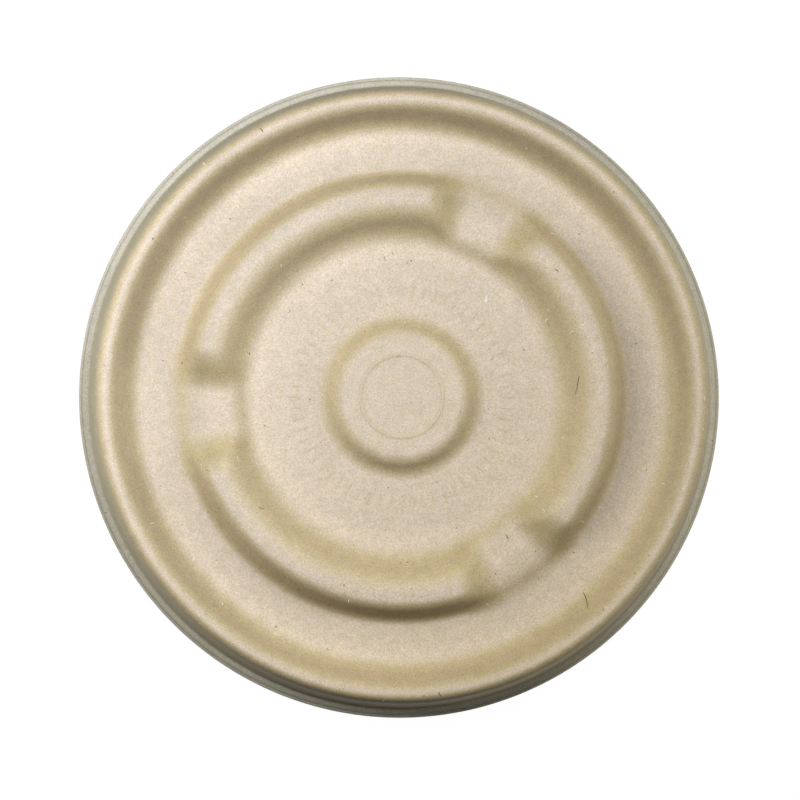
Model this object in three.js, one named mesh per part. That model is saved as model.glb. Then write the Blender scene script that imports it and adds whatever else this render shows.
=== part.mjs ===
import * as THREE from "three";

// Lid for a round compostable food container, pressed from plant-fibre pulp as one thin shell.
// A snap-on rim stands on a narrow trimmed lip and fits over the container's edge. Inside it are
// a flat seat for the next container, a raised stacking ring with three notches, and a low boss.
// Millimetres, +Z up. The origin is the centre of the lip's underside, which is what the lid rests on.

// Overall
const lidDiameter = 190;
const wallThickness = 0.8;
const lidHeight = 13.8;

// Lip and rim, from the outside in
const lipWidth = 2.8;
const skirtDraft = 7; // degrees off vertical
const rimCrownWidth = 5; // between the corners of the rim's top
const rimDepth = 6; // from the rim's top down to the floor
const rimInnerSlope = 48.5; // degrees off horizontal

// Stacking ring
const seatWidth = 14.3; // flat floor between the rim and the ring
const ringWidth = 18; // foot to foot
const ringHeight = 5.4;
const ringOuterSlope = 60;
const ringInnerSlope = 40;

// Notches in the ring
const notchCount = 3;
const notchBearing = 64.7; // degrees from +X to the first notch
const notchFloorSpan = 11; // degrees of ring that each notch takes out
const notchRampSpan = 13.5; // degrees of ring over which each end comes back up
const notchHeight = 1.3; // what is left of the ring in a notch
const notchStepSlope = 28; // of the low steps that are left on both sides of it

// Centre boss
const bossDiameter = 38.3; // across the top's corner
const bossHeight = 2.8;
const bossSlope = 37;

// Radii of the upper surface's corners
const bossEdgeFillet = 6.5;
const bossFootFillet = 6.5;
const ringFootFillet = 11;
const ringInnerFillet = 11;
const ringOuterFillet = 4;
const seatFillet = 3;
const rimFootFillet = 7;
const crownInnerFillet = 4.4;
const crownOuterFillet = 2.8;
const lipFillet = 0.6;

// Fineness of the facets
const filletSteps = 2;
const crownSteps = 4;
const rampSteps = 6;
const floorSteps = 2;
const widestStep = 6; // degrees, where the section doesn't change

const radians = THREE.MathUtils.degToRad;
const runOf = (height, slope) => height / Math.tan(radians(slope));

// Radii worked out from the outside in
const lidRadius = lidDiameter / 2;
const skirtFoot = lidRadius - lipWidth;
const crownOuter = skirtFoot - (lidHeight - wallThickness) * Math.tan(radians(skirtDraft));
const crownInner = crownOuter - rimCrownWidth;
const rimFoot = crownInner - runOf(rimDepth, rimInnerSlope);
const ringOuterFoot = rimFoot - seatWidth;
const ringInnerFoot = ringOuterFoot - ringWidth;
const bossEdge = bossDiameter / 2;
const bossFoot = bossEdge + runOf(bossHeight, bossSlope);
const floorLevel = lidHeight - rimDepth;

// How far the ring has climbed out of a notch, from 0 to 1, at an angle in degrees from +X.
function ringRiseAt(angle) {
  const pitch = 360 / notchCount;
  const offset = THREE.MathUtils.euclideanModulo(angle - notchBearing + pitch / 2, pitch) - pitch / 2;
  const climbed = (Math.abs(offset) - notchFloorSpan / 2) / notchRampSpan;
  return (1 - Math.cos(Math.PI * THREE.MathUtils.clamp(climbed, 0, 1))) / 2;
}

// The upper surface's corners in one radial section, from the axis to the lip.
function sectionCorners(angle) {
  const rise = ringRiseAt(angle);
  const ring = THREE.MathUtils.lerp(notchHeight, ringHeight, rise);
  const ringTop = floorLevel + ring;
  const slopeFrom = (ringSlope) => THREE.MathUtils.lerp(notchStepSlope, ringSlope, rise);
  const innerShoulder = ringInnerFoot + runOf(ring, slopeFrom(ringInnerSlope));
  const outerShoulder = ringOuterFoot - runOf(ring, slopeFrom(ringOuterSlope));
  const bossTop = floorLevel + bossHeight;
  return [
    { r: 0, z: bossTop },
    { r: bossEdge, z: bossTop, fillet: bossEdgeFillet, steps: filletSteps },
    { r: bossFoot, z: floorLevel, fillet: bossFootFillet, steps: filletSteps },
    { r: ringInnerFoot, z: floorLevel, fillet: ringFootFillet, steps: filletSteps },
    { r: innerShoulder, z: ringTop, fillet: ringInnerFillet, steps: filletSteps },
    { r: outerShoulder, z: ringTop, fillet: ringOuterFillet, steps: filletSteps },
    { r: ringOuterFoot, z: floorLevel, fillet: seatFillet, steps: filletSteps },
    { r: rimFoot, z: floorLevel, fillet: rimFootFillet, steps: filletSteps },
    { r: crownInner, z: lidHeight, fillet: crownInnerFillet, steps: filletSteps },
    { r: crownOuter, z: lidHeight, fillet: crownOuterFillet, steps: crownSteps },
    { r: skirtFoot, z: wallThickness, fillet: lipFillet, steps: filletSteps },
    { r: lidRadius, z: wallThickness },
  ];
}

// Rounds a section's corners. Each point comes with the upper surface's normal in the section.
function roundedSection(corners) {
  const points = corners.map((c) => new THREE.Vector2(c.r, c.z));
  const along = points.slice(1).map((p, i) => p.clone().sub(points[i]).normalize());
  const bends = corners.map((c, i) => (c.fillet ? along[i].angle() - along[i - 1].angle() : 0));
  const turns = bends.map((bend) => THREE.MathUtils.euclideanModulo(bend + Math.PI, 2 * Math.PI) - Math.PI);
  const tangents = corners.map((c, i) => (c.fillet ? c.fillet * Math.tan(Math.abs(turns[i]) / 2) : 0));
  // Two fillets that meet on a short wall share its length.
  const share = points.slice(1).map((p, i) => {
    return Math.min(1, p.distanceTo(points[i]) / (tangents[i] + tangents[i + 1] || 1));
  });
  const section = [];
  corners.forEach((corner, i) => {
    const before = along[Math.max(i - 1, 0)];
    const normal = new THREE.Vector2(-before.y, before.x);
    if (!corner.fillet) {
      section.push({ point: points[i], normal });
      return;
    }
    const tangent = tangents[i] * Math.min(share[i - 1], share[i]);
    const radius = (Math.sign(turns[i]) * tangent) / Math.tan(Math.abs(turns[i]) / 2);
    const start = points[i].clone().addScaledVector(before, -tangent);
    const centre = start.clone().addScaledVector(normal, radius);
    for (let step = 0; step <= corner.steps; step++) {
      const turned = normal.clone().rotateAround(new THREE.Vector2(), (turns[i] * step) / corner.steps);
      section.push({ point: centre.clone().addScaledVector(turned, -radius), normal: turned });
    }
  });
  return section;
}

// Angles of the radial sections, close together where the ring climbs out of a notch.
function sectionAngles() {
  const pitch = 360 / notchCount;
  const plainSpan = pitch - notchFloorSpan - 2 * notchRampSpan;
  const stretches = [
    [notchFloorSpan, floorSteps],
    [notchRampSpan, rampSteps],
    [plainSpan, Math.ceil(plainSpan / widestStep)],
    [notchRampSpan, rampSteps],
  ];
  const angles = [];
  for (let notch = 0; notch < notchCount; notch++) {
    let angle = notchBearing + notch * pitch - notchFloorSpan / 2;
    for (const [span, steps] of stretches) {
      for (let step = 0; step < steps; step++) {
        angles.push(angle + (span * step) / steps);
      }
      angle += span;
    }
  }
  return angles;
}

// Both surfaces of the wall along one section: the upper one, and the lower one a wall's thickness
// below it, square to the surface also where the ring's height changes around the lid.
function wallSection(angle) {
  const nudge = 0.01;
  const ahead = roundedSection(sectionCorners(angle + nudge));
  const behind = roundedSection(sectionCorners(angle - nudge));
  const outward = new THREE.Vector3(Math.cos(radians(angle)), Math.sin(radians(angle)), 0);
  const around = new THREE.Vector3(-outward.y, outward.x, 0);
  const upper = [];
  const lower = [];
  roundedSection(sectionCorners(angle)).forEach(({ point, normal }, i) => {
    const top = outward.clone().multiplyScalar(point.x).setZ(point.y);
    const change = ahead[i].point.clone().sub(behind[i].point).dot(normal);
    const lean = point.x > 0 ? change / (2 * radians(nudge) * point.x) : 0;
    const square = outward.clone().multiplyScalar(normal.x).setZ(normal.y);
    square.addScaledVector(around, -lean).normalize();
    upper.push(top);
    lower.push(top.clone().addScaledVector(square, -wallThickness));
  });
  return { upper, lower };
}

// Lofts the closed wall around the lid: each surface fans out from the axis, and the lip's cut edge
// joins them.
function lidShell() {
  const sections = sectionAngles().map(wallSection);
  const rows = sections[0].upper.length - 1;
  const vertices = [sections[0].upper[0], sections[0].lower[0]];
  for (const { upper, lower } of sections) {
    vertices.push(...upper.slice(1), ...lower.slice(1));
  }
  const at = (section, side, row) => {
    return row === 0 ? side : 1 + (section % sections.length) * 2 * rows + side * rows + row;
  };
  const faces = [];
  const quad = (a, b, c, d) => faces.push(a, b, c, a, c, d);
  sections.forEach((_, s) => {
    faces.push(at(s, 0, 0), at(s, 0, 1), at(s + 1, 0, 1));
    faces.push(at(s, 1, 0), at(s + 1, 1, 1), at(s, 1, 1));
    for (let row = 1; row < rows; row++) {
      quad(at(s, 0, row), at(s, 0, row + 1), at(s + 1, 0, row + 1), at(s + 1, 0, row));
      quad(at(s, 1, row), at(s + 1, 1, row), at(s + 1, 1, row + 1), at(s, 1, row + 1));
    }
    quad(at(s, 0, rows), at(s, 1, rows), at(s + 1, 1, rows), at(s + 1, 0, rows));
  });
  const geometry = new THREE.BufferGeometry().setFromPoints(vertices);
  geometry.setIndex(faces);
  geometry.computeVertexNormals();
  return geometry;
}

const unbleachedPulp = new THREE.MeshStandardMaterial({ color: 0xd9cab0, roughness: 0.9, metalness: 0 });

const lid = new THREE.Mesh(lidShell(), unbleachedPulp);
lid.name = "lid";

const part = new THREE.Group();
part.add(lid);

export default part;
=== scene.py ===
import math
import random

import bmesh
import bpy
from mathutils import Matrix, Vector, noise
from mathutils.bvhtree import BVHTree


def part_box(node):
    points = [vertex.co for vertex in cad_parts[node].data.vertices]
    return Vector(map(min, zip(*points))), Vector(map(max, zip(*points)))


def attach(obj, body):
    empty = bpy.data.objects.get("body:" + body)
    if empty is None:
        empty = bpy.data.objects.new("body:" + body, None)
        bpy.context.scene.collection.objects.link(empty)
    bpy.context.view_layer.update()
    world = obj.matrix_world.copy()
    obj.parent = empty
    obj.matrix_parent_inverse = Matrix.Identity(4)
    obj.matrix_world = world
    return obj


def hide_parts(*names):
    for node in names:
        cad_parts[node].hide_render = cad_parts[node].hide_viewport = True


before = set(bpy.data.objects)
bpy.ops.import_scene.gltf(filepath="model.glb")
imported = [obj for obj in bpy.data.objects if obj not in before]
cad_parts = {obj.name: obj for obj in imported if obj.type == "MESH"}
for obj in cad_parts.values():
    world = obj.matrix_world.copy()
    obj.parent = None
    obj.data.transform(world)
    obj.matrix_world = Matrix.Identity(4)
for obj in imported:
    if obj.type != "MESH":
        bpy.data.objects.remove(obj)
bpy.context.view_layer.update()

# Lengths in this script are millimetres. The mesh is scaled to metres when it is made.
MM = 0.001
low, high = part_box("lid")
LID_RADIUS = min(high.x, high.y, -low.x, -low.y) / MM
LID_HEIGHT = high.z / MM

# The wall's section, from the outside in
WALL = 0.8
LIP_WIDTH = 2.8
SKIRT_DRAFT = 7
CROWN_WIDTH = 5
RIM_DEPTH = 6
RIM_SLOPE = 48.5
SEAT_WIDTH = 14.3
RING_WIDTH = 18
RING_HEIGHT = 5.4
RING_OUTER_SLOPE = 60
RING_INNER_SLOPE = 40
BOSS_RADIUS = 19.15
BOSS_HEIGHT = 2.8
BOSS_SLOPE = 37

# Radii of the upper surface's corners
BOSS_EDGE_FILLET = 6.5
BOSS_FOOT_FILLET = 6.5
RING_FOOT_FILLET = 11
RING_INNER_FILLET = 11
RING_OUTER_FILLET = 4
SEAT_FILLET = 3
RIM_FOOT_FILLET = 7
CROWN_INNER_FILLET = 4.4
CROWN_OUTER_FILLET = 2.8
LIP_FILLET = 0.6
LINE_FILLET = 0.05

# Notches in the ring. The floor and each ramp are spans in degrees. A notch's low steps are gentle and
# rounded, and their feet lie further in and out than the ring's.
NOTCHES = 3
NOTCH_BEARING = 64.7
NOTCH_FLOOR = 11
NOTCH_RAMP = 13.5
NOTCH_HEIGHT = 1.3
NOTCH_STEP_SLOPE = 17
NOTCH_INWARD = 2.6
NOTCH_OUTWARD = 1.4
NOTCH_FILLET = 15

# The lip's trimmed edge: a thin flash of fibre outside a pressed line
FLASH_WIDTH = 0.75
FLASH_DROP = 0.2
LINE_WIDTH = 0.22
LINE_DEPTH = 0.3
EDGE_ROUND = 0.15

# Plain relief on the flat places
BOSS_RING_RADIUS = 12.2
BOSS_RING_WIDTH = 0.9
BOSS_RING_HEIGHT = 0.13
TICKS = 60
TICK_INNER = 29.6
TICK_OUTER = 33.4
TICK_WIDTH = 0.6
TICK_END = 0.5
TICK_HEIGHT = 0.08

# Unevenness of the pressed wall
WAVE_HEIGHT = 0.12
WAVE_LENGTH = 26
DIMPLE_HEIGHT = 0.035
DIMPLE_LENGTH = 3.2
DIMPLE_SHIFT = (7, 3, 5)
STEADY_HEIGHT = 1.5

# Two fillets on a short wall leave a little of it straight between them
FILLET_SHARE = 0.92

# Fineness of the mesh. Beyond the fine radius every second column is enough.
FINE_COLUMNS = 720
FINE_RADIUS = 44
UNDER_SKIP = 3

# The camera looks straight down, leaning a little to the lower left
PHOTO_SIZE = 800
LIP_PIXELS = 320.35
CAMERA_DISTANCE = 2.5
CAMERA_LEAN = 4
CAMERA_LEAN_BEARING = 210
SENSOR = 36


def run_of(height, slope):
    """How far a wall of this height and slope in degrees runs outwards."""
    return height / math.tan(math.radians(slope))


def smooth(t):
    """Eases from 0 to 1."""
    t = min(max(t, 0), 1)
    return (1 - math.cos(math.pi * t)) / 2


def between(start, end, share):
    """The value that lies this share of the way from start to end."""
    return start + (end - start) * share


def ring_rise(angle):
    """How far the ring has climbed out of a notch, from 0 to 1, at an angle in degrees from +X."""
    pitch = 360 / NOTCHES
    offset = (angle - NOTCH_BEARING + pitch / 2) % pitch - pitch / 2
    return smooth((abs(offset) - NOTCH_FLOOR / 2) / NOTCH_RAMP)


SKIRT_FOOT = LID_RADIUS - LIP_WIDTH
CROWN_OUTER = SKIRT_FOOT - (LID_HEIGHT - WALL) * math.tan(math.radians(SKIRT_DRAFT))
CROWN_INNER = CROWN_OUTER - CROWN_WIDTH
RIM_FOOT = CROWN_INNER - run_of(RIM_DEPTH, RIM_SLOPE)
RING_OUTER = RIM_FOOT - SEAT_WIDTH
RING_INNER = RING_OUTER - RING_WIDTH
FLOOR = LID_HEIGHT - RIM_DEPTH


def section_corners(angle):
    """Radius, height, fillet, steps of the fillet and rows to the next corner, from the axis out."""
    rise = ring_rise(angle)
    ring = between(NOTCH_HEIGHT, RING_HEIGHT, rise)
    inner_slope = between(NOTCH_STEP_SLOPE, RING_INNER_SLOPE, rise)
    outer_slope = between(NOTCH_STEP_SLOPE, RING_OUTER_SLOPE, rise)
    outer_fillet = between(NOTCH_FILLET, RING_OUTER_FILLET, rise)
    seat_fillet = between(NOTCH_FILLET, SEAT_FILLET, rise)
    inner_foot = RING_INNER - NOTCH_INWARD * (1 - rise)
    outer_foot = RING_OUTER + NOTCH_OUTWARD * (1 - rise)
    top = FLOOR + ring
    boss_top = FLOOR + BOSS_HEIGHT
    boss_foot = BOSS_RADIUS + run_of(BOSS_HEIGHT, BOSS_SLOPE)
    flash = LID_RADIUS - FLASH_WIDTH
    return [
        (0, boss_top, 0, 0, 8),
        (BOSS_RING_RADIUS - BOSS_RING_WIDTH, boss_top, 0, 0, 8),
        (BOSS_RING_RADIUS + BOSS_RING_WIDTH, boss_top, 0, 0, 4),
        (BOSS_RADIUS, boss_top, BOSS_EDGE_FILLET, 7, 1),
        (boss_foot, FLOOR, BOSS_FOOT_FILLET, 7, 4),
        (TICK_INNER - TICK_END, FLOOR, 0, 0, 4),
        (TICK_INNER + TICK_END, FLOOR, 0, 0, 4),
        (TICK_OUTER - TICK_END, FLOOR, 0, 0, 4),
        (TICK_OUTER + TICK_END, FLOOR, 0, 0, 9),
        (inner_foot, FLOOR, RING_FOOT_FILLET, 8, 1),
        (inner_foot + run_of(ring, inner_slope), top, RING_INNER_FILLET, 8, 3),
        (outer_foot - run_of(ring, outer_slope), top, outer_fillet, 7, 2),
        (outer_foot, FLOOR, seat_fillet, 6, 9),
        (RIM_FOOT, FLOOR, RIM_FOOT_FILLET, 7, 2),
        (CROWN_INNER, LID_HEIGHT, CROWN_INNER_FILLET, 5, 2),
        (CROWN_OUTER, LID_HEIGHT, CROWN_OUTER_FILLET, 8, 6),
        (SKIRT_FOOT, WALL, LIP_FILLET, 4, 2),
        (flash - LINE_WIDTH, WALL, LINE_FILLET, 1, 1),
        (flash - LINE_WIDTH / 2, WALL - LINE_DEPTH, LINE_FILLET, 1, 1),
        (flash, WALL - FLASH_DROP, LINE_FILLET, 1, 2),
        (LID_RADIUS, WALL - FLASH_DROP, EDGE_ROUND, 3, 1),
        (LID_RADIUS, WALL / 2, 0, 0, 0),
    ]


def rounded_section(corners):
    """The upper surface's points and normals, each corner filleted. Their count never changes."""
    points = [Vector((c[0], c[1])) for c in corners]
    along = [(b - a).normalized() for a, b in zip(points, points[1:])]
    turns = [0.0] * len(corners)
    for i in range(1, len(corners) - 1):
        turns[i] = math.atan2(along[i - 1].cross(along[i]), along[i - 1].dot(along[i]))
    tangents = [c[2] * math.tan(abs(t) / 2) for c, t in zip(corners, turns)]
    share = []
    for i, (a, b) in enumerate(zip(points, points[1:])):
        needed = tangents[i] + tangents[i + 1]
        share.append(min(1, FILLET_SHARE * (b - a).length / needed) if needed else 1)
    arcs = []
    for i, corner in enumerate(corners):
        before = along[max(i - 1, 0)]
        normal = Vector((-before.y, before.x))
        if not corner[2] or abs(turns[i]) < 1e-9:
            arcs.append([(points[i], normal)] * (corner[3] + 1))
            continue
        tangent = tangents[i] * min(share[i - 1], share[i])
        radius = math.copysign(tangent / math.tan(abs(turns[i]) / 2), turns[i])
        centre = points[i] - before * tangent + normal * radius
        arc = []
        for step in range(corner[3] + 1):
            turned = Matrix.Rotation(turns[i] * step / corner[3], 2) @ normal
            arc.append((centre - turned * radius, turned))
        arcs.append(arc)
    section = []
    for i, arc in enumerate(arcs):
        section.extend(arc)
        if i + 1 == len(arcs):
            break
        (a, normal_a), (b, normal_b) = arc[-1], arcs[i + 1][0]
        rows = corners[i][4]
        for row in range(1, rows):
            t = row / rows
            section.append((a.lerp(b, t), normal_a.lerp(normal_b, t).normalized()))
    return section


def relief(radius, angle):
    """Height of the plain ring and ticks above the wall."""
    ring = smooth(1 - abs(radius - BOSS_RING_RADIUS) / BOSS_RING_WIDTH) * BOSS_RING_HEIGHT
    pitch = 360 / TICKS
    offset = abs((angle + pitch / 2) % pitch - pitch / 2)
    across = math.radians(offset) * radius
    ends = min(radius - TICK_INNER, TICK_OUTER - radius)
    side = smooth(1 - (across - TICK_WIDTH / 4) / (TICK_WIDTH / 2))
    return ring + side * smooth(ends / TICK_END / 2 + 0.5) * TICK_HEIGHT


def unevenness(point):
    """How far the pressed wall lies below its true form. It is never above it."""
    wave = noise.noise(point / WAVE_LENGTH)
    dimple = noise.noise(point / DIMPLE_LENGTH + Vector(DIMPLE_SHIFT))
    return WAVE_HEIGHT * (wave - 1) / 2 + DIMPLE_HEIGHT * (dimple - 1) / 2


def wall_section(angle):
    """The wall's upper and lower surface in one radial section, in millimetres."""
    nudge = 0.01
    here = rounded_section(section_corners(angle))
    ahead = rounded_section(section_corners(angle + nudge))
    behind = rounded_section(section_corners(angle - nudge))
    turn = math.radians(angle)
    outward = Vector((math.cos(turn), math.sin(turn), 0))
    around = Vector((-outward.y, outward.x, 0))
    upper, lower = [], []
    for (point, normal), (point_a, _), (point_b, _) in zip(here, ahead, behind):
        top = outward * point.x + Vector((0, 0, point.y))
        square = outward * normal.x + Vector((0, 0, normal.y))
        if point.x > 0:
            change = (point_a - point_b).dot(normal) / (2 * math.radians(nudge) * point.x)
            square = (square - around * change).normalized()
        steady = smooth((point.y - WALL) / STEADY_HEIGHT)
        top += square * (unevenness(top) * steady + relief(point.x, angle))
        upper.append(top)
        lower.append(top - square * WALL)
    return upper, lower


def thinned(row):
    """Every few rows are enough for the underside."""
    return row[: -1 : UNDER_SKIP] + [row[-1]]


def add_surface(mesh, rings, flip):
    """Joins rings of vertices, from the axis outwards. A ring may have half as many as the one before."""
    for inner, outer in zip(rings, rings[1:]):
        count = len(outer)
        for i in range(count):
            j = (i + 1) % count
            if len(inner) == 1:
                faces = [(inner[0], outer[i], outer[j])]
            elif len(inner) == count:
                faces = [(inner[i], outer[i], outer[j], inner[j])]
            else:
                k, middle, m = 2 * i, 2 * i + 1, 2 * j
                faces = [(inner[k], outer[i], inner[middle])]
                faces += [(inner[middle], outer[i], outer[j]), (inner[middle], outer[j], inner[m])]
            for face in faces:
                mesh.faces.new(face[::-1] if flip else face)


# Painted shade in the notches, in the slopes' tint: how strongly the pulp is tinted on a notch's floor, how
# much that grows up its ramps, and the distance in millimetres over which it fades out beside the ring
NOTCH_FLOOR_SHADE = 0.2
NOTCH_RAMP_SHADE = 3.2
NOTCH_SHADE_FADE = 5


def mark_notch_shade(data):
    """Stores where the ring climbs out of a notch, for the painted shade in the pulp's colour."""
    notch_shade_marks = data.attributes.new("notch", "FLOAT", "POINT")
    for vertex, mark in zip(data.vertices, notch_shade_marks.data):
        x, y, _ = vertex.co
        radius = math.hypot(x, y) / MM
        across = min(radius - RING_INNER, RING_OUTER - radius) / NOTCH_SHADE_FADE + 1
        rise = ring_rise(math.degrees(math.atan2(y, x)))
        tint = NOTCH_FLOOR_SHADE + NOTCH_RAMP_SHADE * rise
        mark.value = smooth(across) * (1 - rise) * tint


def make_lid():
    """The whole pressed wall as one closed mesh."""
    columns = [wall_section(360 * i / FINE_COLUMNS) for i in range(FINE_COLUMNS)]
    mesh = bmesh.new()

    def rings_of(side, rows, keep_fine):
        rings = []
        for row in rows:
            first = columns[0][side][row]
            radius = math.hypot(first.x, first.y)
            if radius < 1e-6:
                rings.append([mesh.verts.new(first * MM)])
                continue
            step = 1 if keep_fine and radius < FINE_RADIUS else 2
            rings.append([mesh.verts.new(column[side][row] * MM) for column in columns[::step]])
        return rings

    rows = list(range(len(columns[0][0])))
    upper = rings_of(0, rows, True)
    inside_lip = [row for row in rows if columns[0][1][row].xy.length < SKIRT_FOOT + LIP_WIDTH / 4]
    lower = rings_of(1, thinned(inside_lip), False)
    foot = LID_RADIUS - EDGE_ROUND
    turns = [math.radians(360 * i / FINE_COLUMNS) for i in range(0, FINE_COLUMNS, 2)]
    lower.append([mesh.verts.new(Vector((math.cos(t), math.sin(t), 0)) * foot * MM) for t in turns])
    add_surface(mesh, upper, False)
    add_surface(mesh, lower, True)
    add_surface(mesh, [upper[-1], lower[-1]], False)
    data = bpy.data.meshes.new("lid_shell")
    mesh.to_mesh(data)
    mesh.free()
    data.shade_smooth()
    mark_notch_shade(data)
    lid = bpy.data.objects.new("lid_shell", data)
    bpy.context.scene.collection.objects.link(lid)
    return lid


# The lip's centre in the photograph, in pixels across and down
PHOTO_MIDDLE = (399.6, 397.2)
# Loose fibres and specks that show in the photograph: pixel across and down where each starts, length in
# millimetres, direction and curl in degrees
DARK_FIBRES = [
    (581, 592, 5.2, -80, -40),
    (576.3, 376.3, 5.8, -101, -12),
    (435.7, 692, 1.4, -62, 0),
    (258, 131, 1.5, -57, 0),
    (257, 508, 1.7, -10, 60),
    (503.8, 535, 1.6, -60, 0),
    (552.3, 270.7, 1.2, -36, 0),
    (493, 573.5, 0.5, -50, 0),
    (404.5, 563, 0.6, 0, 0),
    (398.5, 563.5, 0.4, 0, 0),
    (571.5, 552, 0.6, -50, 0),
    (180.8, 363, 0.8, -80, 0),
    (248.8, 354, 0.8, -110, 0),
    (631, 573, 0.6, -40, 0),
    (301, 285, 0.5, -80, 0),
]
PALE_FIBRES = [
    (485.5, 296, 2.8, -98, 6),
    (456, 275, 1.2, -80, 10),
]
DARK_WIDTH = 0.3
PALE_WIDTH = 0.45
LOOSE_DARK = 30
LOOSE_PALE = 60
LOOSE_LENGTHS = (0.4, 1.5)
LOOSE_THINNESS = (0.35, 0.6)
LOOSE_CURL = 60
DARK_SEED = 11
PALE_SEED = 23
FIBRE_TIP = 0.35
FIBRE_FLATNESS = 0.6
FIBRE_SIDES = 5
FIBRE_RINGS = 9


def from_photo(across, down):
    """A place on the lid, in millimetres, from a pixel of the photograph."""
    scale = LID_RADIUS / LIP_PIXELS
    return (across - PHOTO_MIDDLE[0]) * scale, (PHOTO_MIDDLE[1] - down) * scale


def fibre_path(start, length, direction, curl, surface):
    """Points of a fibre that lies on the lid, in millimetres."""
    x, y = start
    step = length / (FIBRE_RINGS - 1)
    turn = math.radians(direction - curl / 2)
    path = []
    for _ in range(FIBRE_RINGS):
        hit = surface.ray_cast(Vector((x, y, 2 * LID_HEIGHT)) * MM, Vector((0, 0, -1)))[0]
        if hit is None:
            return []
        path.append(hit / MM)
        x += math.cos(turn) * step
        y += math.sin(turn) * step
        turn += math.radians(curl) / (FIBRE_RINGS - 1)
    return path


def add_fibre(mesh, path, thickness):
    """A thin tapered hair along the path, pressed half into the surface and never above the rim."""
    rings = []
    for i, point in enumerate(path):
        ahead = path[min(i + 1, len(path) - 1)] - path[max(i - 1, 0)]
        side = ahead.cross(Vector((0, 0, 1))).normalized()
        up = side.cross(ahead).normalized()
        swell = math.sin(math.pi * (i + 0.5) / len(path))
        radius = thickness / 2 * (FIBRE_TIP + (1 - FIBRE_TIP) * swell)
        ring = []
        for k in range(FIBRE_SIDES):
            turn = 2 * math.pi * k / FIBRE_SIDES
            place = point + side * math.cos(turn) * radius + up * math.sin(turn) * radius * FIBRE_FLATNESS
            place.z = min(place.z, LID_HEIGHT)
            ring.append(mesh.verts.new(place * MM))
        rings.append(ring)
    for a, b in zip(rings, rings[1:]):
        for k in range(FIBRE_SIDES):
            m = (k + 1) % FIBRE_SIDES
            mesh.faces.new((a[k], a[m], b[m], b[k]))
    mesh.faces.new(rings[0][::-1])
    mesh.faces.new(rings[-1])


def make_fibres(name, placed, loose, thickness, surface, seed):
    """The fibres of one colour as one mesh: the placed ones, and finer ones scattered over the lid."""
    draw = random.Random(seed)
    mesh = bmesh.new()
    for across, down, length, direction, curl in placed:
        path = fibre_path(from_photo(across, down), length, direction, curl, surface)
        add_fibre(mesh, path, thickness)
    while loose:
        radius = math.sqrt(draw.random()) * CROWN_OUTER
        turn = draw.uniform(0, 2 * math.pi)
        start = (radius * math.cos(turn), radius * math.sin(turn))
        length = draw.uniform(*LOOSE_LENGTHS)
        direction = draw.uniform(0, 360)
        curl = draw.uniform(-LOOSE_CURL, LOOSE_CURL)
        path = fibre_path(start, length, direction, curl, surface)
        if path and max(p.xy.length for p in path) < CROWN_OUTER:
            add_fibre(mesh, path, thickness * draw.uniform(*LOOSE_THINNESS))
            loose -= 1
    bmesh.ops.recalc_face_normals(mesh, faces=mesh.faces)
    data = bpy.data.meshes.new(name)
    mesh.to_mesh(data)
    mesh.free()
    data.shade_smooth()
    fibres = bpy.data.objects.new(name, data)
    bpy.context.scene.collection.objects.link(fibres)
    return fibres


# Colours are linear light
WHITE = (1, 1, 1)
PULP = (0.751, 0.653, 0.547)
PULP_WARM = (0.788, 0.662, 0.58)
PULP_GREEN = (0.719, 0.645, 0.485)
HUE_SHARE = 0.6
HUE_LOW = 0.4
HUE_HIGH = 0.6
# Painted shade of the lamps' falloff, partly the pulp's own tone: darker and yellower towards one side. The
# bearing in degrees, and how far from the axis the change begins and ends
SIDE_SHADE_TINT = (0.875, 0.843, 0.74)
SIDE_SHADE_BEARING = -48
SIDE_SHADE_REACH = 95
# Painted shade on the slopes, partly the pulp's own yellower tone: tints of the slopes, and between which
# steepnesses (the sine of the slope) each comes in
SLOPE_SHADE_TINT = (0.724, 0.696, 0.52)
SLOPE_SHADE_RANGE = (0.02, 0.42)
STEEP_SHADE_TINT = (0.84, 0.82, 0.85)
STEEP_SHADE_RANGE = (0.4, 0.75)
NOTCH_SHADE_SHARE = 0.35
# Painted cool shade makes the skirt and lip greyer, partly their own tone. The tint comes in between these
# distances inside the skirt's foot.
EDGE_SHADE_TINT = (0.74, 0.82, 0.9)
EDGE_SHADE_START = 2.8
EDGE_SHADE_END = 0.8
# Painted highlights and painted shade: tone of the pulp at these distances from the axis, and the highest
# of them
SHEEN_AND_SHADE_TONES = [
    (0, 1),
    (39, 1),
    (43.5, 1.13),
    (48, 1),
    (55, 1.1),
    (58, 1.02),
    (61, 0.9),
    (64, 1),
    (67, 0.91),
    (73, 0.99),
    (77.2, 1.15),
    (81, 1),
]
TOP_SHEEN_TONE = 1.2
# Sizes in millimetres of the patches of hue and tone, and the tones between which they vary
HUE_SIZE = 2.5
GRAIN_SIZE = 0.45
GRAIN_TONES = (0.8, 1.22)
MOTTLE_SIZE = 3.2
MOTTLE_TONES = (0.95, 1.05)
CLOUD_SIZE = 24
CLOUD_TONES = (0.97, 1.03)
NOISE_LOW = 0.3
NOISE_HIGH = 0.7
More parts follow.
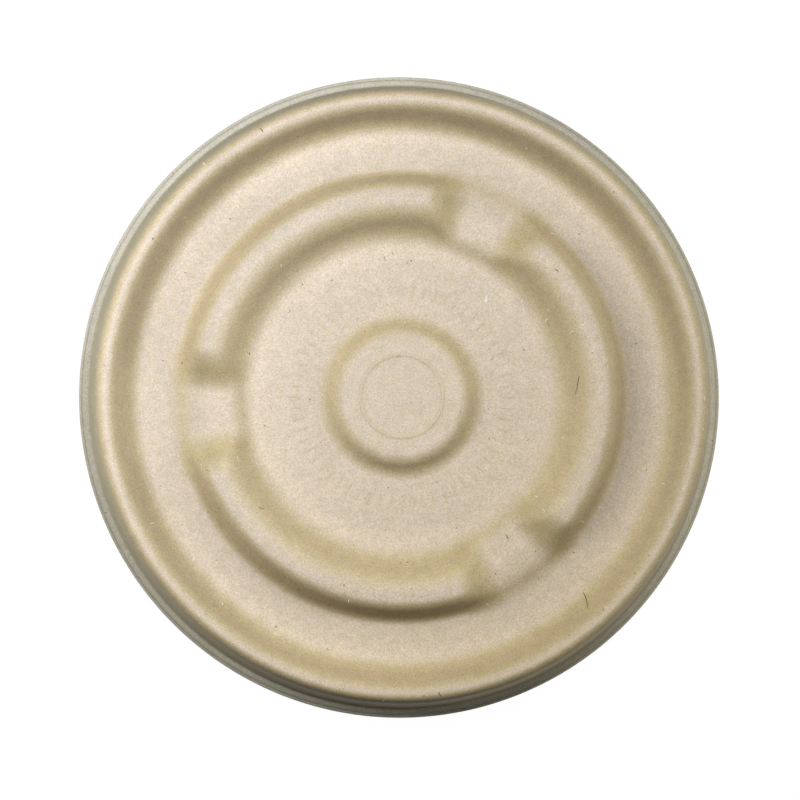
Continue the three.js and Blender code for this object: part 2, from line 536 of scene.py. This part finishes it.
# Dark specks of bark: cells for each metre, the share of cells without one, their size in cells, their soft
# edge, and how ragged they are
SPECK = (0.2, 0.13, 0.07)
SPECK_STRENGTH = 0.8
SPECK_CELLS = 300
SPECK_NONE = 0.45
SPECK_SIZE = 0.1
SPECK_SOFT = 0.02
SPECK_RAGGED = 0.4
SPECK_RAGGED_SCALE = 1500
BUMP_STRENGTH = 0.7
BUMP_HEIGHT = 0.12
PULP_ROUGHNESS = 0.62
PULP_SPECULAR = 0.3
FIBRE_DARK = (0.11, 0.065, 0.03)
FIBRE_PALE = (0.92, 0.9, 0.86)
FIBRE_PATCH = 0.8
FIBRE_ROUGHNESS = 0.7
FIBRE_TONES = (0.7, 1.3)


def add_node(tree, kind, inputs=None, **settings):
    """A shader node, with its settings and with values or links on its named inputs."""
    made = tree.nodes.new("ShaderNode" + kind)
    for name, value in settings.items():
        setattr(made, name, value)
    for name, value in (inputs or {}).items():
        if isinstance(value, bpy.types.NodeSocket):
            tree.links.new(value, made.inputs[name])
        else:
            made.inputs[name].default_value = value
    return made


def noise_at(tree, place, size, detail, offset=0.0):
    """Noise whose features are about this many millimetres across."""
    shifted = add_node(tree, "VectorMath", {0: place, 1: (offset,) * 3}, operation="ADD")
    made = add_node(
        tree,
        "TexNoise",
        {"Vector": shifted.outputs[0], "Scale": 1 / (size * MM), "Detail": detail, "Roughness": 0.6},
    )
    return made.outputs["Fac"]


def spread(tree, value, low, high, new_low, new_high):
    """Maps a value from one range to another, and keeps it inside."""
    inputs = {"Value": value, "From Min": low, "From Max": high, "To Min": new_low, "To Max": new_high}
    return add_node(tree, "MapRange", inputs).outputs["Result"]


def blend_colours(tree, factor, first, second, way="MIX"):
    """One colour over another by a factor."""
    made = tree.nodes.new("ShaderNodeMix")
    made.data_type = "RGBA"
    made.blend_type = way
    for socket, value in ((made.inputs[0], factor), (made.inputs[6], first), (made.inputs[7], second)):
        if isinstance(value, bpy.types.NodeSocket):
            tree.links.new(value, socket)
        elif isinstance(value, tuple):
            socket.default_value = (*value, 1)
        else:
            socket.default_value = value
    return made.outputs[2]


def product(tree, first, second):
    """One value times another."""
    return add_node(tree, "Math", {0: first, 1: second}, operation="MULTIPLY").outputs[0]


def radius_of(tree, place):
    """Distance from the lid's axis, in metres."""
    flat = add_node(tree, "VectorMath", {0: place, 1: (1, 1, 0)}, operation="MULTIPLY")
    return add_node(tree, "VectorMath", {0: flat.outputs[0]}, operation="LENGTH").outputs["Value"]


def sheen_and_shade_by_radius(tree, radius):
    """Paler at the feet of the walls with painted highlights, and duller beside the ring with painted
    shade.
    """
    share = add_node(tree, "Math", {0: radius, 1: LID_RADIUS * MM}, operation="DIVIDE").outputs[0]
    ramp = add_node(tree, "ValToRGB", {"Fac": share})
    ramp.color_ramp.interpolation = "B_SPLINE"
    stops = ramp.color_ramp.elements
    while len(stops) < len(SHEEN_AND_SHADE_TONES):
        stops.new(0.5)
    for stop, (place, tone) in zip(stops, SHEEN_AND_SHADE_TONES):
        stop.position = place / LID_RADIUS
        stop.color = (tone / TOP_SHEEN_TONE,) * 3 + (1,)
    return product(tree, ramp.outputs["Color"], TOP_SHEEN_TONE)


def new_material(name):
    """A material with its node tree and its shader."""
    material = bpy.data.materials.new(name)
    material.use_nodes = True
    return material, material.node_tree, material.node_tree.nodes["Principled BSDF"]


def tinted(tree, colour, share, tint):
    """The colour multiplied by the tint, as far as the share says."""
    return blend_colours(tree, 1.0, colour, blend_colours(tree, share, WHITE, tint), "MULTIPLY")


def steepness(tree):
    """The sine of the surface's slope."""
    normal = add_node(tree, "NewGeometry").outputs["Normal"]
    upright = add_node(tree, "SeparateXYZ", {0: normal}).outputs["Z"]
    level = product(tree, upright, upright)
    lean = add_node(tree, "Math", {0: 1.0, 1: level}, operation="SUBTRACT").outputs[0]
    return add_node(tree, "Math", {0: lean}, operation="SQRT").outputs[0]


def side_shade_share(tree, place):
    """0 on the lit side, where the painted shade is least, and 1 on the opposite side."""
    bearing = math.radians(SIDE_SHADE_BEARING)
    toward = (math.cos(bearing), math.sin(bearing), 0)
    facing = add_node(tree, "VectorMath", {0: place, 1: toward}, operation="DOT_PRODUCT")
    return spread(tree, facing.outputs["Value"], -SIDE_SHADE_REACH * MM, SIDE_SHADE_REACH * MM, 0, 1)


def pulp_colour(tree, place, radius):
    """Mottled in hue, darker and yellower on slopes, towards one side and in the notches, and greyer at the
    edge: painted shade, partly the pulp's own tone.
    """
    hue = spread(tree, noise_at(tree, place, HUE_SIZE, 4), HUE_LOW, HUE_HIGH, 0, 1)
    colour = blend_colours(tree, hue, PULP_WARM, PULP_GREEN)
    colour = blend_colours(tree, HUE_SHARE, PULP, colour)
    # Painted shade of the lamps' falloff towards one side, partly the pulp's own tone
    colour = tinted(tree, colour, side_shade_share(tree, place), SIDE_SHADE_TINT)
    lean = steepness(tree)
    # Painted shade on the slopes, partly the pulp's own yellower tone
    colour = tinted(tree, colour, spread(tree, lean, *SLOPE_SHADE_RANGE, 0, 1), SLOPE_SHADE_TINT)
    colour = tinted(tree, colour, spread(tree, lean, *STEEP_SHADE_RANGE, 0, 1), STEEP_SHADE_TINT)
    # Painted shade on the notches' floors and ramps
    notch_shade_marks = add_node(tree, "Attribute", attribute_name="notch").outputs["Fac"]
    colour = tinted(tree, colour, product(tree, notch_shade_marks, NOTCH_SHADE_SHARE), SLOPE_SHADE_TINT)
    # Painted cool shade on the skirt and lip, partly their own tone
    edge_shade = spread(tree, radius, (SKIRT_FOOT - EDGE_SHADE_START) * MM, (SKIRT_FOOT - EDGE_SHADE_END) * MM, 0, 1)
    return tinted(tree, colour, edge_shade, EDGE_SHADE_TINT)


def pulp_tone(tree, place, radius, grain, mottle):
    """Lighter and darker in patches of three sizes, and by distance from the axis with painted highlights
    and shade.
    """
    cloud = noise_at(tree, place, CLOUD_SIZE, 2, 0.6)
    tone = spread(tree, grain, NOISE_LOW, NOISE_HIGH, *GRAIN_TONES)
    tone = product(tree, tone, spread(tree, mottle, NOISE_LOW, NOISE_HIGH, *MOTTLE_TONES))
    tone = product(tree, tone, spread(tree, cloud, NOISE_LOW, NOISE_HIGH, *CLOUD_TONES))
    # Painted highlights and shade by distance from the axis
    return product(tree, tone, sheen_and_shade_by_radius(tree, radius))


def specked(tree, colour, place):
    """The colour with ragged dark specks, at most one in each cell."""
    ragged = add_node(tree, "TexNoise", {"Vector": place, "Scale": SPECK_RAGGED_SCALE, "Detail": 2})
    jitter = {0: ragged.outputs["Color"], 3: SPECK_RAGGED * MM}
    shift = add_node(tree, "VectorMath", jitter, operation="SCALE")
    around = add_node(tree, "VectorMath", {0: place, 1: shift.outputs[0]}, operation="ADD")
    cells = add_node(tree, "TexVoronoi", {"Vector": around.outputs[0], "Scale": SPECK_CELLS})
    chance = add_node(tree, "SeparateColor", {0: cells.outputs["Color"]}).outputs["Red"]
    size = spread(tree, chance, SPECK_NONE, 1, 0, SPECK_SIZE)
    inside = add_node(tree, "Math", {0: size, 1: cells.outputs["Distance"]}, operation="SUBTRACT")
    share = spread(tree, inside.outputs[0], 0, SPECK_SOFT, 0, SPECK_STRENGTH)
    return blend_colours(tree, share, colour, SPECK)


def pulp_material():
    """Unbleached pulp: a mottled felt of fibres."""
    material, tree, shader = new_material("unbleached_pulp")
    place = add_node(tree, "TexCoord").outputs["Object"]
    radius = radius_of(tree, place)
    grain = noise_at(tree, place, GRAIN_SIZE, 4, 0.2)
    mottle = noise_at(tree, place, MOTTLE_SIZE, 3, 0.4)
    colour = pulp_colour(tree, place, radius)
    tone = pulp_tone(tree, place, radius, grain, mottle)
    colour = add_node(tree, "VectorMath", {0: colour, 3: tone}, operation="SCALE").outputs[0]
    colour = specked(tree, colour, place)
    height = add_node(tree, "Math", {0: grain, 1: mottle}, operation="ADD").outputs[0]
    inputs = {"Strength": BUMP_STRENGTH, "Distance": BUMP_HEIGHT * MM, "Height": height}
    bump = add_node(tree, "Bump", inputs)
    tree.links.new(colour, shader.inputs["Base Color"])
    tree.links.new(bump.outputs[0], shader.inputs["Normal"])
    shader.inputs["Roughness"].default_value = PULP_ROUGHNESS
    shader.inputs["Specular IOR Level"].default_value = PULP_SPECULAR
    return material


def fibre_material(name, colour):
    """A loose fibre, a little uneven along its length."""
    material, tree, shader = new_material(name)
    place = add_node(tree, "TexCoord").outputs["Object"]
    tone = spread(tree, noise_at(tree, place, FIBRE_PATCH, 2), NOISE_LOW, NOISE_HIGH, *FIBRE_TONES)
    shade = add_node(tree, "VectorMath", {0: colour, 3: tone}, operation="SCALE")
    tree.links.new(shade.outputs[0], shader.inputs["Base Color"])
    shader.inputs["Roughness"].default_value = FIBRE_ROUGHNESS
    return material


def finish_piece(piece, material):
    """Gives a piece its material and tells the frame what it is."""
    piece.data.materials.append(material)
    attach(piece, "root")


def white_to_camera(tree):
    """1 for what the camera, a reflection or a glass pane sees, and 0 for the light that is scattered."""
    path = add_node(tree, "LightPath").outputs
    seen = path["Is Camera Ray"]
    for ray in ("Is Glossy Ray", "Is Transmission Ray"):
        seen = add_node(tree, "Math", {0: seen, 1: path[ray]}, operation="MAXIMUM").outputs[0]
    return seen


# The floor is a square in metres, just under the lid. It glows white to the camera, so it can be dark.
FLOOR_SIZE = 6
FLOOR_GAP = 0.01
FLOOR_GREY = 0.04
FLOOR_GLOW = 0.98


def make_floor():
    """A floor that shows white, with the lid's soft shadow on it."""
    bpy.ops.mesh.primitive_plane_add(size=FLOOR_SIZE, location=(0, 0, -FLOOR_GAP * MM))
    floor = bpy.context.object
    floor.name = "floor"
    material, tree, shader = new_material("floor")
    shader.inputs["Base Color"].default_value = (FLOOR_GREY, FLOOR_GREY, FLOOR_GREY, 1)
    shader.inputs["Roughness"].default_value = 1
    shader.inputs["Specular IOR Level"].default_value = 0
    glow = product(tree, white_to_camera(tree), FLOOR_GLOW)
    shader.inputs["Emission Color"].default_value = (1, 1, 1, 1)
    tree.links.new(glow, shader.inputs["Emission Strength"])
    floor.data.materials.append(material)


# Place and width in metres, power in watts and colour
SOFTBOXES = {
    "key": ((0.321, 0.557, 0.766), 0.5, 6.35, (1, 1, 1)),
    "right": ((1.477, 0, 0.26), 0.7, 12.3, (1, 1, 1)),
    "left": ((-0.341, 0.06, 0.2), 0.2, 1.29, (1, 1, 1)),
}


def make_light():
    """Three softboxes that point at the lid, and a world that is only seen."""
    world = bpy.data.worlds.new("studio")
    bpy.context.scene.world = world
    world.use_nodes = True
    tree = world.node_tree
    back = tree.nodes["Background"]
    back.inputs["Color"].default_value = (1, 1, 1, 1)
    tree.links.new(white_to_camera(tree), back.inputs["Strength"])
    for name, (place, size, power, colour) in SOFTBOXES.items():
        lamp = bpy.data.lights.new(name, "AREA")
        lamp.color = colour
        lamp.size = size
        lamp.energy = power
        box = bpy.data.objects.new(name, lamp)
        bpy.context.scene.collection.objects.link(box)
        box.location = place
        box.rotation_euler = (-Vector(place)).to_track_quat("-Z", "Y").to_euler()


def make_camera():
    """Looks down at the lip's circle, which has the photograph's size."""
    data = bpy.data.cameras.new("camera")
    data.sensor_width = SENSOR
    pixels_per_slope = LIP_PIXELS * CAMERA_DISTANCE / (LID_RADIUS * MM)
    data.lens = pixels_per_slope * SENSOR / PHOTO_SIZE
    camera = bpy.data.objects.new("camera", data)
    bpy.context.scene.collection.objects.link(camera)
    lean, bearing = math.radians(CAMERA_LEAN), math.radians(CAMERA_LEAN_BEARING)
    aside = Vector((math.cos(bearing), math.sin(bearing), 0))
    back = aside * math.sin(lean) + Vector((0, 0, math.cos(lean)))
    right = Vector((0, 1, 0)).cross(back).normalized()
    up = back.cross(right)
    turn = Matrix((right, up, back)).transposed().to_4x4()
    camera.matrix_world = Matrix.Translation(back * CAMERA_DISTANCE) @ turn
    data.shift_x = (PHOTO_SIZE / 2 - PHOTO_MIDDLE[0]) / PHOTO_SIZE
    data.shift_y = (PHOTO_MIDDLE[1] - PHOTO_SIZE / 2) / PHOTO_SIZE
    bpy.context.scene.camera = camera


def make_scene():
    """The lid with its fibres, on a white floor in soft light."""
    bpy.context.scene.view_settings.view_transform = "Standard"
    lid = make_lid()
    finish_piece(lid, pulp_material())
    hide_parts("lid")
    bpy.context.view_layer.update()
    surface = BVHTree.FromObject(lid, bpy.context.evaluated_depsgraph_get())
    dark = make_fibres("dark_fibres", DARK_FIBRES, LOOSE_DARK, DARK_WIDTH, surface, DARK_SEED)
    finish_piece(dark, fibre_material("dark_fibre", FIBRE_DARK))
    pale = make_fibres("pale_fibres", PALE_FIBRES, LOOSE_PALE, PALE_WIDTH, surface, PALE_SEED)
    finish_piece(pale, fibre_material("pale_fibre", FIBRE_PALE))
    make_floor()
    make_light()
    make_camera()


make_scene()
